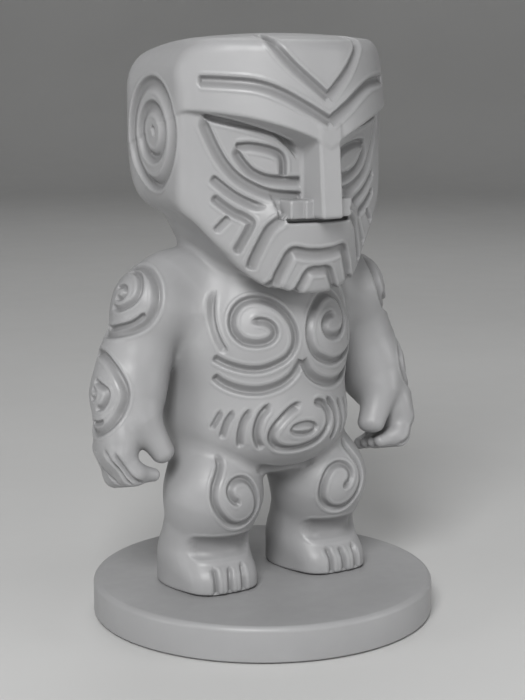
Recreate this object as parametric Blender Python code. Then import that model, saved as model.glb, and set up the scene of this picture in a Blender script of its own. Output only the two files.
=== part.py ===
"""Tiki figure: a cast resin statue in keyed pieces, pinned together and screwed to a round plinth.

All sizes below are in millimetres. Z is up, the figure looks along -Y, and its own right side is -X.
Figure heights are measured from the soles and lifted onto the plinth by SOLE_Z. Each finished mesh is
scaled to metres and placed by its object's location.
"""
import math

import bmesh
import bpy
from mathutils import Matrix, Vector

MM = 0.001
GAP = 0.3                     # clearance between two pieces that touch

# plinth and felt
PLINTH_RADIUS = 50.0
PLINTH_BOTTOM = 0.4           # the felt stands this far below the plinth's rim
PLINTH_TOP = 10.5
SOLE_Z = PLINTH_TOP + GAP
RIM_ROUND = 1.5
FELT_RADIUS = 47.0
FELT_THICK = 1.2

# overall figure
FIGURE_TOP = 156.4            # crown above the soles
HEAD_HALF_WIDTH = 33.0
HEAD_BACK = 26.0
HEAD_CORNER = 10.0
CHIN_Z = 85.6                 # lowest point of the jaw above the soles
CHIN_Y = -28.0
JAW_RISE = 20.7               # the jaw climbs this far from the chin to the temple
JAW_HALF_WIDTH = 31.0
UNDERSIDE_TOP = 111.0         # the head's underside behind the jaw

# neck
NECK_RADII = (19.2, 16.9)     # half width and half depth of the oval neck
NECK_Y = 7.0

# joint planes
NECK_SLOPE = 0.47             # the neck cut rises this much per mm towards the back
NECK_Z = CHIN_Z - 3.0 + NECK_SLOPE * (NECK_Y - CHIN_Y)
SHOULDER_X = 28.8
SHOULDER_Y = 7.5
SHOULDER_Z = 83.0
HIP_X = 17.0
HIP_Y = 1.0
HIP_Z = 34.4
HIP_SLOPE = 0.27              # the hip cut rises this much per mm away from the middle

# hardware
NECK_PIN = (3.0, 26.0)        # radius, length
LIMB_PIN = (2.5, 18.0)
FOOT_DOWEL = (2.0, 11.0)
FOOT_X = 18.4
SCREW_Y = 2.0
DOWEL_Y = -8.0
SCREW_RADIUS = 2.0
SCREW_HEAD = (3.5, 2.6)
SCREW_TIP = 19.5
WASHER = (4.5, 2.3, 0.8)      # outer radius, bore radius, thickness
INSERT = (3.1, 2.3, 8.0)
SEAT_Z = 6.0                  # floor of the counterbore in the plinth
COUNTERBORE_RADIUS = 5.0

# mesh density
ROUND = 16                    # sides of small turned pieces
PLINTH_SIDES = 72
BALL_STEPS = 10


# ---------------------------------------------------------------- scene and materials

def clear_scene():
    for old in list(bpy.data.objects):
        bpy.data.objects.remove(old, do_unlink=True)


def make_material(name, colour, roughness, metallic):
    material = bpy.data.materials.new(name)
    material.use_nodes = True
    shader = material.node_tree.nodes["Principled BSDF"]
    shader.inputs["Base Color"].default_value = (*colour, 1.0)
    shader.inputs["Roughness"].default_value = roughness
    shader.inputs["Metallic"].default_value = metallic
    return material


def make_object(name, bm):
    mesh = bpy.data.meshes.new(name)
    bm.to_mesh(mesh)
    bm.free()
    made = bpy.data.objects.new(name, mesh)
    bpy.context.collection.objects.link(made)
    return made


def bake(piece):
    """Replace the piece's mesh by its evaluated one, with every modifier applied."""
    depsgraph = bpy.context.evaluated_depsgraph_get()
    mesh = bpy.data.meshes.new_from_object(piece.evaluated_get(depsgraph))
    piece.modifiers.clear()
    piece.data = mesh
    return piece


def boolean(piece, tool, operation="DIFFERENCE"):
    modifier = piece.modifiers.new("boolean", "BOOLEAN")
    modifier.operation = operation
    modifier.solver = "EXACT"
    modifier.object = tool
    bake(piece)
    bpy.data.objects.remove(tool, do_unlink=True)
    return piece


def finish(piece, anchor, material, root, sharp_angle=35.0):
    """Scale to metres, put the origin at the anchor, and give material, shading and parent."""
    piece.data.transform(Matrix.Scale(MM, 4) @ Matrix.Translation(-Vector(anchor)))
    piece.location = Vector(anchor) * MM
    piece.parent = root
    piece.data.materials.clear()
    piece.data.materials.append(material)
    piece.data.shade_smooth()
    piece.data.set_sharp_from_angle(angle=math.radians(sharp_angle))
    return piece


# ---------------------------------------------------------------- solid shapes

def box(name, centre, size, turn=Matrix()):
    bm = bmesh.new()
    matrix = Matrix.Translation(centre) @ turn @ Matrix.Diagonal((*size, 1.0))
    bmesh.ops.create_cube(bm, size=1.0, matrix=matrix)
    return make_object(name, bm)


def rod(name, centre, radius, length, axis=Vector((0, 0, 1)), sides=ROUND, chamfer=0.0):
    """A round rod centred on a point, with an optional chamfer on both ends."""
    half = length / 2.0
    rings = [(radius, -half), (radius, half)]
    if chamfer:
        rings = [(radius - chamfer, -half), (radius, chamfer - half),
                 (radius, half - chamfer), (radius - chamfer, half)]
    piece = turned(name, rings, sides)
    turn = Vector((0, 0, 1)).rotation_difference(axis).to_matrix().to_4x4()
    piece.data.transform(Matrix.Translation(centre) @ turn)
    return piece


def turned(name, rings, sides, bore=None):
    """A solid of revolution about Z from (radius, height) rings, bottom to top, capped or bored."""
    bm = bmesh.new()
    loops = [ring_loop(bm, radius, height, sides) for radius, height in rings]
    if bore:
        loops.append(ring_loop(bm, bore, rings[-1][1], sides))
        loops.append(ring_loop(bm, bore, rings[0][1], sides))
        loops.append(loops[0])
    else:
        bm.faces.new(reversed(loops[0]))
        bm.faces.new(loops[-1])
    for lower, upper in zip(loops, loops[1:]):
        bridge(bm, lower, upper)
    bmesh.ops.recalc_face_normals(bm, faces=bm.faces)
    return make_object(name, bm)


def ring_loop(bm, radius, height, sides):
    turns = [2.0 * math.pi * i / sides for i in range(sides)]
    return [bm.verts.new((radius * math.cos(t), radius * math.sin(t), height)) for t in turns]


def bridge(bm, lower, upper):
    count = len(lower)
    for i in range(count):
        j = (i + 1) % count
        bm.faces.new((lower[i], lower[j], upper[j], upper[i]))


def ball_points(centre, radii):
    """Points spread over an ellipsoid."""
    points = []
    for i in range(BALL_STEPS + 1):
        lift = math.pi * i / BALL_STEPS
        for j in range(2 * BALL_STEPS):
            turn = math.pi * j / BALL_STEPS
            unit = (math.sin(lift) * math.cos(turn), math.sin(lift) * math.sin(turn), math.cos(lift))
            points.append(Vector(c + r * u for c, r, u in zip(centre, radii, unit)))
    return points


def add_hull(bm, points):
    """Add the convex hull of some points as its own closed shell."""
    hull = bmesh.new()
    for point in points:
        hull.verts.new(point)
    bmesh.ops.convex_hull(hull, input=hull.verts)
    bmesh.ops.delete(hull, geom=[v for v in hull.verts if not v.link_faces], context="VERTS")
    bmesh.ops.recalc_face_normals(hull, faces=hull.faces)
    shell = bpy.data.meshes.new("hull")
    hull.to_mesh(shell)
    hull.free()
    bm.from_mesh(shell)
    bpy.data.meshes.remove(shell)


def add_ball(bm, centre, radii):
    add_hull(bm, ball_points(centre, radii))


def add_limb(bm, joints):
    """A chain of tapered round stretches through (x, y, z, radius) joints."""
    for first, last in zip(joints, joints[1:]):
        points = []
        for x, y, z, radius in (first, last):
            points += ball_points((x, y, z), (radius, radius, radius))
        add_hull(bm, points)


def sculpt(name, bm, voxel, smoothing, keep):
    """Fuse overlapping shells into one skin, soften it, and thin it to a share of its faces."""
    piece = make_object(name, bm)
    remesh = piece.modifiers.new("fuse", "REMESH")
    remesh.mode = "VOXEL"
    remesh.voxel_size = voxel
    smooth = piece.modifiers.new("soften", "SMOOTH")
    smooth.factor = 0.5
    smooth.iterations = smoothing
    thin = piece.modifiers.new("thin", "DECIMATE")
    thin.ratio = keep
    bake(piece)
    piece.data.transform(Matrix.Translation((0, 0, SOLE_Z)))
    return piece


# ---------------------------------------------------------------- head

def face_front(x):
    """Depth of the eye plane, which bows back towards the sides."""
    return -26.0 + 14.0 * (x / 31.4) ** 2


def brow_front(x, z):
    return -34.6 + 0.2 * (z - 133.0) + 19.6 * (x / 31.4) ** 2


def muzzle_front(x, z):
    return -30.0 - 0.13 * (z - 96.0) + 16.5 * (x / 28.0) ** 2


def head_outline(half_width, front, inset=0.0):
    """Plan of the head at one height: a bowed front and a back with round corners."""
    steps = 12
    half = half_width - inset
    points = [(x, front(x)) for x in spaced(-half, half, steps + 1)]
    corner = min(HEAD_CORNER, half - 0.5)
    for side in (1, -1):
        for i in range(5):
            turn = math.radians(90.0 * i / 4)
            turn = turn if side > 0 else math.radians(90.0) - turn
            x = side * (half - corner + corner * math.cos(turn))
            points.append((x, HEAD_BACK - inset - corner + corner * math.sin(turn)))
    return points


def crown_inset(z):
    """How far the outline draws in near the crown, a quarter round of the crown's edge."""
    edge = 8.0
    rise = z - (FIGURE_TOP - edge)
    return 0.0 if rise <= 0.0 else edge - math.sqrt(max(0.0, edge ** 2 - rise ** 2))


def add_head_block(bm, heights, half_width, front, inset=0.0):
    """Loft of head outlines between heights, front(x, z) giving the depth of its face."""
    loops = []
    for z in heights:
        pull = inset + crown_inset(z)
        plan = head_outline(half_width(z), lambda x: front(x, z) + pull, pull)
        loops.append([bm.verts.new((x, y, z)) for x, y in plan])
    start = len(bm.faces)
    for lower, upper in zip(loops, loops[1:]):
        bridge(bm, lower, upper)
    bm.faces.new(reversed(loops[0]))
    bm.faces.new(loops[-1])
    bm.faces.ensure_lookup_table()
    bmesh.ops.recalc_face_normals(bm, faces=bm.faces[start:])


def underside(x, y):
    """Height of the head's underside: a U-shaped jaw that climbs back to a level rear."""
    side = abs(x) / JAW_HALF_WIDTH
    rise = CHIN_Z + JAW_RISE * side ** 2.4 + 0.5 * (y - CHIN_Y - 14.0 * side ** 2)
    return min(rise, UNDERSIDE_TOP)


def crown(x, y):
    """Height of the slightly domed crown, which falls away towards the back."""
    return FIGURE_TOP + 0.1 - 0.0022 * x * x - 0.0042 * (y + 8.0) ** 2


def height_block(name, height, floor):
    """A closed block between a level floor and a surface z = height(x, y)."""
    bm = bmesh.new()
    reach = 42.0
    bmesh.ops.create_grid(bm, x_segments=24, y_segments=24, size=reach)
    base = list(bm.faces)
    grown = bmesh.ops.extrude_face_region(bm, geom=base)["geom"]
    tops = [item for item in grown if isinstance(item, bmesh.types.BMVert)]
    for vert in tops:
        vert.co.z = height(vert.co.x, vert.co.y) + SOLE_Z
    for vert in set(bm.verts) - set(tops):
        vert.co.z = floor + SOLE_Z
    bmesh.ops.recalc_face_normals(bm, faces=bm.faces)
    return make_object(name, bm)


def spaced(low, high, count):
    return [low + (high - low) * i / (count - 1) for i in range(count)]


def add_brow(bm):
    """The heavy brow: a slab for each half whose lower edge climbs from the nose to the temple."""
    for side in (-1, 1):
        points = []
        for x in spaced(0.0, HEAD_HALF_WIDTH - 1.0, 8):
            low = 131.2 + 0.38 * x
            for z in (low, 146.0):
                points.append(Vector((side * x, brow_front(x, z), z)))
                points.append(Vector((side * x, 0.0, z)))
        add_hull(bm, points)


def add_nose(bm):
    bmesh.ops.create_cube(bm, size=1.0, matrix=Matrix.Translation((0, -27.0, 120.0))
                          @ Matrix.Diagonal((6.8, 15.6, 25.2, 1.0)))
    for side in (-1, 1):
        bmesh.ops.create_cube(bm, size=1.0, matrix=Matrix.Translation((side * 6.2, -26.0, 109.8))
                              @ Matrix.Diagonal((6.6, 11.0, 5.0, 1.0)))


def make_head():
    bm = bmesh.new()
    crown_heights = spaced(149.0, FIGURE_TOP, 6)
    add_head_block(bm, [80.0, 100.0, 120.0, 140.0] + crown_heights,
                   lambda z: HEAD_HALF_WIDTH, lambda x, z: face_front(x))
    add_head_block(bm, [143.0, 146.0] + crown_heights, lambda z: HEAD_HALF_WIDTH, brow_front)
    add_brow(bm)
    add_head_block(bm, spaced(80.0, 107.5, 8), lambda z: 27.0 - 0.5 * (z - 86.0), muzzle_front, 0.2)
    add_nose(bm)
    head = sculpt("head", bm, voxel=1.0, smoothing=3, keep=0.05)
    boolean(head, height_block("under_cut", underside, 60.0))
    boolean(head, height_block("crown_cut", crown, 180.0))
    return add_neck_stub(head)


def neck_normal():
    return Vector((0.0, -NECK_SLOPE, 1.0)).normalized()


def half_space(name, point, normal, reach=120.0):
    """A large block that fills the side of a plane that its normal points into."""
    turn = Vector((0, 0, 1)).rotation_difference(normal).to_matrix().to_4x4()
    return box(name, Vector(point) + normal * (reach / 2.0), (reach * 2, reach * 2, reach), turn)


def add_neck_stub(head):
    """The neck column joins the underside, and the sloping neck cut ends it."""
    column = rod("neck_column", (0.0, 0.0, 104.0 + SOLE_Z), 1.0, 24.0, sides=32)
    oval = Matrix.Translation((0.0, NECK_Y, 0.0)) @ Matrix.Diagonal((*NECK_RADII, 1.0, 1.0))
    column.data.transform(oval)
    boolean(head, column, "UNION")
    joint = Vector((0.0, NECK_Y, NECK_Z + SOLE_Z)) + neck_normal() * (GAP / 2)
    return boolean(head, half_space("neck_cut", joint, -neck_normal()))


# ---------------------------------------------------------------- torso and limbs

def make_torso():
    bm = bmesh.new()
    chest = ball_points((0.0, 3.5, 70.0), (27.0, 24.6, 26.0))
    belly = ball_points((0.0, 3.2, 46.0), (27.6, 25.0, 20.0))
    add_hull(bm, chest + belly)
    neck_ball = (*NECK_RADII, NECK_RADII[0])
    low_ball = ball_points((0.0, NECK_Y, 78.0), neck_ball)
    add_hull(bm, low_ball + ball_points((0.0, NECK_Y, 112.0), neck_ball))
    for side in (-1, 1):
        add_limb(bm, [(side * 14.0, 8.5, 84.0, 12.0), (side * 34.0, 6.8, 81.0, 10.6)])
        add_limb(bm, [(side * 16.0, 1.0, 45.0, 13.8), (side * 17.6, -1.0, 26.0, 13.8)])
    torso = sculpt("torso", bm, voxel=1.2, smoothing=8, keep=0.075)
    joint = Vector((0.0, NECK_Y, NECK_Z + SOLE_Z))
    boolean(torso, half_space("neck_cut", joint - neck_normal() * (GAP / 2), neck_normal()))
    boolean(torso, below_hips())
    for side in (-1, 1):
        cut_shoulder(torso, side)
    return torso


def cut_shoulder(torso, side):
    """Trim the shoulder stub at the arm joint."""
    shoulder = Vector((side * (SHOULDER_X - GAP / 2 + 20.0), SHOULDER_Y, SHOULDER_Z + SOLE_Z))
    boolean(torso, box("arm_cut", shoulder, (40.0, 60.0, 44.0)))


def below_hips():
    """A block whose top is the shallow V of both hip cuts, lowest in the middle."""
    reach = 60.0
    lift = GAP / 2
    middle = HIP_Z + SOLE_Z - HIP_SLOPE * HIP_X + lift
    outline = [(-reach, -reach), (reach, -reach), (reach, middle + HIP_SLOPE * reach),
               (0.0, middle), (-reach, middle + HIP_SLOPE * reach)]
    bm = bmesh.new()
    face = bm.faces.new([bm.verts.new((x, -reach, z)) for x, z in outline])
    grown = bmesh.ops.extrude_face_region(bm, geom=[face])["geom"]
    moved = [item for item in grown if isinstance(item, bmesh.types.BMVert)]
    bmesh.ops.translate(bm, verts=moved, vec=(0.0, 2.0 * reach, 0.0))
    bmesh.ops.recalc_face_normals(bm, faces=bm.faces)
    return make_object("hip_cut", bm)


def hip_point(side):
    return Vector((side * HIP_X, HIP_Y, HIP_Z + SOLE_Z))


def hip_normal(side):
    return Vector((-side * HIP_SLOPE, 0.0, 1.0)).normalized()


def make_arm(name, side):
    """Upper arm, forearm and a hand curled as if round a staff."""
    bm = bmesh.new()
    add_limb(bm, [(side * x, y, z, r) for x, y, z, r in (
        (24.0, 8.0, 84.4, 11.2), (33.4, 6.8, 81.0, 10.6), (38.8, 6.6, 65.0, 9.3),
        (42.0, 4.4, 56.0, 9.3), (44.0, 2.6, 50.0, 7.6))])
    add_ball(bm, (side * 47.0, 1.0, 43.8), (5.8, 8.4, 8.8))
    for finger in range(4):
        y = -5.4 + 3.6 * finger
        low = 36.4 - 0.8 * finger
        add_limb(bm, [(side * 49.4, y + 1.0, 41.0, 2.8), (side * 46.2, y, low, 2.6),
                      (side * 39.4, y, low - 0.8, 2.1)])
    add_limb(bm, [(side * 39.6, -2.2, 50.0, 4.8), (side * 35.6, -5.2, 41.6, 3.3)])
    arm = sculpt(name, bm, voxel=0.8, smoothing=3, keep=0.07)
    joint = Vector((side * (SHOULDER_X + GAP / 2), SHOULDER_Y, SHOULDER_Z + SOLE_Z))
    return boolean(arm, half_space("shoulder_cut", joint, Vector((-side, 0.0, 0.0))))


def make_leg(name, side):
    """A short thick leg with a broad foot and three slits between its four toes."""
    bm = bmesh.new()
    add_limb(bm, [(side * x, y, z, r) for x, y, z, r in (
        (16.4, 1.0, 45.0, 13.8), (17.8, -1.3, 28.0, 13.7), (18.0, 3.0, 12.0, 11.8),
        (18.4, 3.2, -4.0, 12.0))])
    add_foot(bm, side)
    leg = sculpt(name, bm, voxel=1.0, smoothing=4, keep=0.08)
    boolean(leg, half_space("sole_cut", (0.0, 0.0, SOLE_Z), Vector((0, 0, -1))))
    top = hip_point(side) - hip_normal(side) * (GAP / 2)
    boolean(leg, half_space("hip_cut", top, hip_normal(side)))
    for x in (15.5, 19.8, 24.6):
        slit = box("toe_slit", (side * x, -14.6, SOLE_Z + 3.5), (0.8, 5.2, 9.0))
        boolean(leg, slit)
    return leg


def add_foot(bm, side):
    """A pillow with a square-round plan, highest at the instep and lower at the toes."""
    points = []
    for i in range(28):
        turn = 2.0 * math.pi * i / 28
        x, y = (math.copysign(abs(f) ** 0.55, f) for f in (math.cos(turn), math.sin(turn)))
        for spread, rise in ((1.0, -4.0), (1.0, 3.5), (0.93, 7.5), (0.7, 10.5)):
            tilt = 0.12 * 14.4 * y * spread
            points.append(Vector((side * (FOOT_X + 0.4 + 11.9 * x * spread), 14.4 * y * spread, rise + tilt)))
    add_hull(bm, points)


# ---------------------------------------------------------------- plinth, felt and hardware

def make_plinth():
    rings = [(PLINTH_RADIUS - 0.5, PLINTH_BOTTOM), (PLINTH_RADIUS, PLINTH_BOTTOM + 0.5)]
    for i in range(5):
        turn = math.radians(90.0 * i / 4)
        rings.append((PLINTH_RADIUS - RIM_ROUND * (1.0 - math.cos(turn)),
                      PLINTH_TOP - RIM_ROUND * (1.0 - math.sin(turn))))
    plinth = turned("base_plinth", rings, PLINTH_SIDES)
    recess_top = FELT_THICK + GAP
    recess = rod("recess", (0, 0, recess_top - 5.0), FELT_RADIUS + GAP, 10.0, sides=PLINTH_SIDES)
    boolean(plinth, recess)
    for side in (-1, 1):
        boolean(plinth, rod("bore", (side * FOOT_X, SCREW_Y, 8.0), SCREW_RADIUS + 0.4, 24.0))
        counterbore = rod("counterbore", (side * FOOT_X, SCREW_Y, SEAT_Z - 5.0), COUNTERBORE_RADIUS, 10.0)
        boolean(plinth, counterbore)
        boolean(plinth, dowel_pocket(side))
    return plinth


def dowel_pocket(side):
    radius, length = FOOT_DOWEL
    return rod("dowel_pocket", (side * FOOT_X, DOWEL_Y, SOLE_Z), radius + GAP, length + 2 * GAP)


def make_felt():
    return turned("base_felt", [(FELT_RADIUS, 0.0), (FELT_RADIUS, FELT_THICK)], PLINTH_SIDES)


def make_screw(name):
    """Pan-head machine screw, tip up, with a six-sided socket in its head."""
    head_radius, head_height = SCREW_HEAD
    head_top = SEAT_Z - WASHER[2] - 2 * GAP
    head_low = head_top - head_height
    rings = [(head_radius - 0.8, head_low), (head_radius, head_low + 0.9), (head_radius, head_top),
             (SCREW_RADIUS, head_top), (SCREW_RADIUS, SCREW_TIP - 0.7), (SCREW_RADIUS - 0.7, SCREW_TIP)]
    screw = turned(name, rings, ROUND)
    return boolean(screw, rod("socket", (0, 0, head_low), 1.45, 3.0, sides=6))


def make_washer(name):
    outer, bore, thick = WASHER
    low = SEAT_Z - GAP - thick
    return turned(name, [(outer, low), (outer, low + thick)], ROUND, bore)


def make_insert(name):
    """Threaded brass sleeve with a waist that the resin grips."""
    outer, bore, length = INSERT
    low = SOLE_Z + GAP
    waist = outer - 0.35
    rings = [(outer, low), (outer, low + length * 0.4), (waist, low + length * 0.45),
             (waist, low + length * 0.55), (outer, low + length * 0.6), (outer, low + length)]
    return turned(name, rings, ROUND, bore)


def socket_cutter(centre, pin, axis):
    radius, length = pin
    return rod("pin_socket", centre, radius + GAP, length + 2 * GAP, axis)


# ---------------------------------------------------------------- assembly

def side_name(side):
    return "right" if side < 0 else "left"


def add_neck_pin(torso, head, steel, root):
    centre = Vector((0.0, NECK_Y, NECK_Z + SOLE_Z))
    for piece in (torso, head):
        boolean(piece, socket_cutter(centre, NECK_PIN, neck_normal()))
    pin = rod("neck_pin", centre, *NECK_PIN, neck_normal(), chamfer=0.6)
    finish(pin, centre, steel, root)


def add_limb_pin(name, pieces, centre, axis, steel, root):
    for piece in pieces:
        boolean(piece, socket_cutter(centre, LIMB_PIN, axis))
    pin = rod(name, centre, *LIMB_PIN, axis, chamfer=0.5)
    finish(pin, centre, steel, root)


def add_foot_hardware(side, leg, steel, brass, root):
    """Screw, washer, insert and dowel of one foot, with their pockets in the leg."""
    label = side_name(side)
    place = Vector((side * FOOT_X, SCREW_Y, 0.0))
    pocket_top = SCREW_TIP + 2.0
    pocket = rod("insert_pocket", (place.x, place.y, pocket_top - 10.0), INSERT[0] + GAP, 20.0)
    boolean(leg, pocket)
    boolean(leg, dowel_pocket(side))
    hardware = (make_screw(label + "_foot_screw"), make_washer(label + "_screw_washer"),
                make_insert(label + "_leg_insert"))
    for piece, material in zip(hardware, (steel, steel, brass)):
        finish(piece, (0, 0, 0), material, root)
        piece.location = place * MM
    centre = (side * FOOT_X, DOWEL_Y, SOLE_Z)
    dowel = rod(label + "_foot_dowel", centre, *FOOT_DOWEL, chamfer=0.4)
    finish(dowel, centre, steel, root)


def build():
    clear_scene()
    root = bpy.data.objects.new("tiki_figure", None)
    bpy.context.collection.objects.link(root)
    resin = make_material("grey_resin", (0.30, 0.30, 0.30), 0.62, 0.0)
    steel = make_material("zinc_steel", (0.62, 0.63, 0.65), 0.35, 1.0)
    brass = make_material("brass", (0.72, 0.54, 0.24), 0.35, 1.0)
    felt = make_material("black_felt", (0.03, 0.03, 0.035), 0.95, 0.0)

    torso = make_torso()
    head = make_head()
    add_neck_pin(torso, head, steel, root)
    for side in (-1, 1):
        label = side_name(side)
        arm = make_arm(label + "_arm", side)
        leg = make_leg(label + "_leg", side)
        shoulder = Vector((side * SHOULDER_X, SHOULDER_Y, SHOULDER_Z + SOLE_Z))
        add_limb_pin(label + "_shoulder_pin", (torso, arm), shoulder, Vector((1, 0, 0)), steel, root)
        add_limb_pin(label + "_hip_pin", (torso, leg), hip_point(side), hip_normal(side), steel, root)
        add_foot_hardware(side, leg, steel, brass, root)
        finish(arm, shoulder, resin, root)
        finish(leg, hip_point(side), resin, root)
    finish(torso, (0.0, 3.0, 60.0 + SOLE_Z), resin, root)
    finish(head, (0.0, NECK_Y, NECK_Z + SOLE_Z), resin, root)
    finish(make_plinth(), (0, 0, 0), resin, root)
    finish(make_felt(), (0, 0, 0), felt, root)


build()
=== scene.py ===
"""Looks of the tiki figure: its carved resin skin, plinth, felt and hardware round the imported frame.

The skin is worked out in millimetres, with heights measured from the soles, x to the figure's own left
and the face towards -y. skin_distance() says how far a point is from the uncarved surface. The surface
is meshed, refined where it bends sharply or is carved, and the channels are then pressed into it.
"""
import math

import bmesh
import bpy
import numpy as np
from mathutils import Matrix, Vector


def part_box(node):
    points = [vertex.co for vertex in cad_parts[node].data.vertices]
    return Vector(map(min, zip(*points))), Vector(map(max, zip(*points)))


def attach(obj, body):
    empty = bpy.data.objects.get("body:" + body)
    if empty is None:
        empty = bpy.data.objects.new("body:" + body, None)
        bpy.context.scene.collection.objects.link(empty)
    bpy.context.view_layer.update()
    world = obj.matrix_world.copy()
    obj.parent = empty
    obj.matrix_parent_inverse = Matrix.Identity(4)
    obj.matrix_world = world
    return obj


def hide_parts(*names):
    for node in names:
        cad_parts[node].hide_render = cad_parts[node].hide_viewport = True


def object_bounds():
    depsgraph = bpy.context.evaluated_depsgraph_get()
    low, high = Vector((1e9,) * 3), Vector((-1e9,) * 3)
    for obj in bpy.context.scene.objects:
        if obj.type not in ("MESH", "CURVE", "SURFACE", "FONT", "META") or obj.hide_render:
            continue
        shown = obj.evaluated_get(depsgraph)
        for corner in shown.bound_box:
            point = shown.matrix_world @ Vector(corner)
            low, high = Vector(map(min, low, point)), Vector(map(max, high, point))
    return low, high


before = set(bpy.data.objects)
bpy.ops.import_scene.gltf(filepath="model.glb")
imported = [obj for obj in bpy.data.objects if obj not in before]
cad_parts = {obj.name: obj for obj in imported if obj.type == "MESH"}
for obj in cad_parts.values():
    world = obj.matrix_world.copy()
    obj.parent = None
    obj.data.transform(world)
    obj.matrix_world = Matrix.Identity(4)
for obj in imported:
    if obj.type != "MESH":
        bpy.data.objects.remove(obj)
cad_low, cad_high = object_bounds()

MM = 0.001
PLINTH_LOW, PLINTH_HIGH = (np.array(corner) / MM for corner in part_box("base_plinth"))
FELT_LOW, FELT_HIGH = (np.array(corner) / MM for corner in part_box("base_felt"))
SOLE_Z = PLINTH_HIGH[2] + 0.3         # the CAD leaves this gap between the plinth and the soles
CROWN_Z = cad_high[2] / MM - SOLE_Z

# the head, a block with a bowed face
HEAD_HALF_WIDTH = 33.3
HEAD_BACK = 26.0
CORNER = 10.0                         # radius of the upright corners at the back
FACE_HALF = 32.6                      # half width over which the face planes bow back
EYE_Y, EYE_BOW = -26.0, 14.0          # front of the eye plane and how far it bows
BROW_Y, BROW_BOW = -34.6, 19.6
BROW_Z = 131.0                        # above this the brow leans at its centre too
BROW_RIM_Z = 123.6                    # top of the eye at the nose
MUZZLE_Y, MUZZLE_BOW = -30.0, 16.5    # at MUZZLE_Z
MUZZLE_Z, MUZZLE_TOP = 96.0, 106.1    # the muzzle's middle, and its level top under the nose
MUZZLE_HALF = 9.5                     # the level top reaches this far from the centre
CHIN_Y, CHIN_Z = -28.0, 85.6
JAW_HALF, JAW_RISE = 31.0, 20.7       # the jaw line climbs this much at this distance from the chin
REAR_Z = 109.3                        # the level rear of the head's underside

# the joint planes of the CAD pieces
NECK_SLOPE = 0.47
NECK_POINT = (CHIN_Y, CHIN_Z - 3.0)   # y and z of a point on the neck plane
SHOULDER_X = 28.8
ARMPIT_Z = 55.0
HIP_SLOPE = 0.27
HIP_CENTRE_Z = 29.8

# what tells an arm from the foot below it and the head above it
FINGERTIP_Z = 28.0
SHOULDER_TOP_Z = 93.0
HEAD_CLEAR_X = 34.0

# the mesh
GRID = 1.0
GRID_LOW = (-60.0, -42.0, -4.0)       # the meshed space
GRID_HIGH = (60.0, 42.0, 162.0)
GRID_SHIFT = (0.37, 0.41, 0.43)       # keeps grid points off the flat faces
STEP = 0.2                            # spacing of the samples along a carved line
CARVING_DEPTH = 1.15                  # depth of a channel whose depth is given as 1


# ---------------------------------------------------------------- distances

def soft_min(a, b, k):
    """Union of two distances with a fillet of about k."""
    h = np.maximum(k - np.abs(a - b), 0.0) / k
    return np.minimum(a, b) - h * h * k * 0.25


def soft_max(a, b, k):
    """What two distances share, with a rounding of about k."""
    return -soft_min(-a, -b, k)


def ramp(value, start, length):
    """Rises from 0 at start to 1 at this length past it."""
    return np.clip((value - start) / length, 0.0, 1.0)


def ellipsoid(p, centre, radii):
    q = [(p[i] - centre[i]) / radii[i] for i in range(3)]
    size = np.sqrt(q[0] ** 2 + q[1] ** 2 + q[2] ** 2)
    slope = np.sqrt(sum((q[i] / radii[i]) ** 2 for i in range(3)))
    return size * (size - 1.0) / np.maximum(slope, 1e-6)


def limb(p, start, end, start_radius, end_radius):
    """A tapered rod with round ends."""
    a, b = np.array(start, float), np.array(end, float)
    along = b - a
    t = sum((p[i] - a[i]) * along[i] for i in range(3)) / (along @ along)
    t = np.clip(t, 0.0, 1.0)
    gap = np.sqrt(sum((p[i] - a[i] - t * along[i]) ** 2 for i in range(3)))
    return gap - (start_radius + t * (end_radius - start_radius))


def chain(p, joints, k):
    """Limbs through (x, y, z, radius) joints, blended into one."""
    shape = None
    for first, last in zip(joints, joints[1:]):
        piece = limb(p, first[:3], last[:3], first[3], last[3])
        shape = piece if shape is None else soft_min(shape, piece, k)
    return shape


def block(p, centre, half, edge):
    """A box of these half sizes with rounded edges."""
    q = [np.abs(p[i] - centre[i]) - (half[i] - edge) for i in range(3)]
    outside = np.sqrt(sum(np.maximum(c, 0.0) ** 2 for c in q))
    return outside + np.minimum(np.maximum.reduce(q), 0.0) - edge


# ---------------------------------------------------------------- head

def eye_plane(ax):
    """How far forward the face is round the eyes. ax is the distance from the middle plane."""
    return EYE_Y + EYE_BOW * (ax / FACE_HALF) ** 2


def brow_plane(ax, z):
    """The leaning front of the brow, upright at its centre, where it runs down into the nose."""
    lean = np.where(z > BROW_Z, 1.0, ramp(ax, 2.5, 6.0))
    return BROW_Y + 0.17 * (z - BROW_Z) * lean + BROW_BOW * (ax / FACE_HALF) ** 2


def brow_under(ax, y):
    """Height of the brow's slanted underside, from the top of the eye out to the brow's lip."""
    rim = BROW_RIM_Z + 0.55 * ax - 0.0055 * ax ** 2
    return rim + 0.32 * (eye_plane(ax) - y)


def muzzle_plane(ax, z):
    """The front of the muzzle, which leans forward and bows back more beside the mouth."""
    front = MUZZLE_Y - 0.13 * (z - MUZZLE_Z) + MUZZLE_BOW * (ax / 28.0) ** 2
    return front + 3.2 * (np.clip(ax - 9.0, 0.0, 14.0) / 10.0) ** 2


def head_underside(ax, y):
    """The U-shaped jaw line, which climbs back to the level rear of the head's underside."""
    behind = y - CHIN_Y - EYE_BOW * (ax / FACE_HALF) ** 2
    rise = CHIN_Z + JAW_RISE * (ax / JAW_HALF) ** 2.4 + 0.5 * behind
    return soft_min(rise, REAR_Z, 6.0)


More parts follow.
